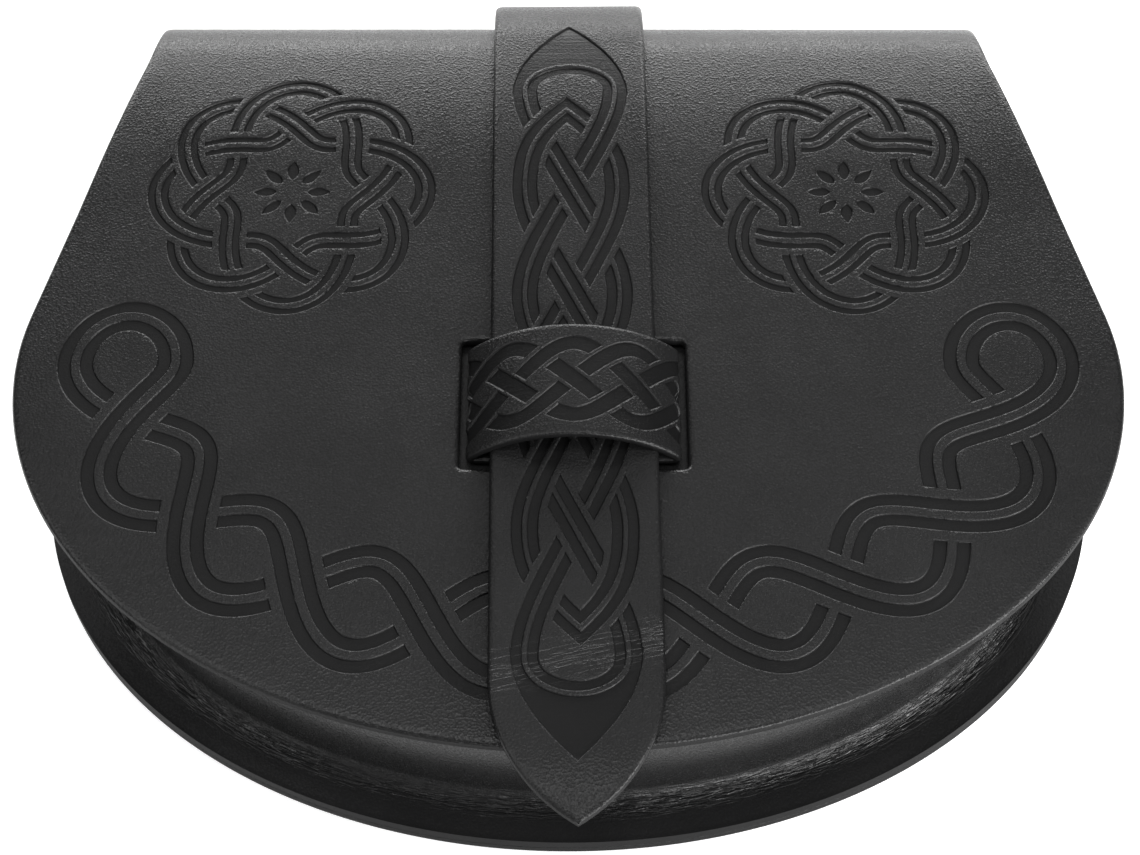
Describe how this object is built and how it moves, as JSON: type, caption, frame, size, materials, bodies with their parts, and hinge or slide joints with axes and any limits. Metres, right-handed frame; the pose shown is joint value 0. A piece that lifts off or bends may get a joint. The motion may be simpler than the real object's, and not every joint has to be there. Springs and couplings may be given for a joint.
{
  "type": "belt pouch",
  "caption": "Rounded leather belt pouch with a moulded front, a wide pressed flap, a pointed closing strap through an arched keeper, and belt loops on its back.",
  "frame": {"origin": "centre of the outline on the surface that the pouch lies on, at the outer faces of its belt loops", "axes": "+X to the right of the flap, +Y towards the rolled top edge, +Z out of the flap, away from the wearer's belt"},
  "size_m": [0.203, 0.19, 0.0628],
  "materials": {
    "shell_leather": "black dyed leather, fine grain, semi-matt, with a pressed pattern",
    "body_leather": "black dyed leather, moulded wet, smooth and half glossy with fine creases at its foot",
    "strap_leather": "black dyed leather, fine grain, semi-matt, with a pressed plait"
  },
  "bodies": {
    "root": {"back_flap": "shell_leather", "front_body": "body_leather", "strap": "strap_leather", "keeper": "strap_leather", "belt_loop_left": "shell_leather", "belt_loop_right": "shell_leather"}
  },
  "joints": []
}
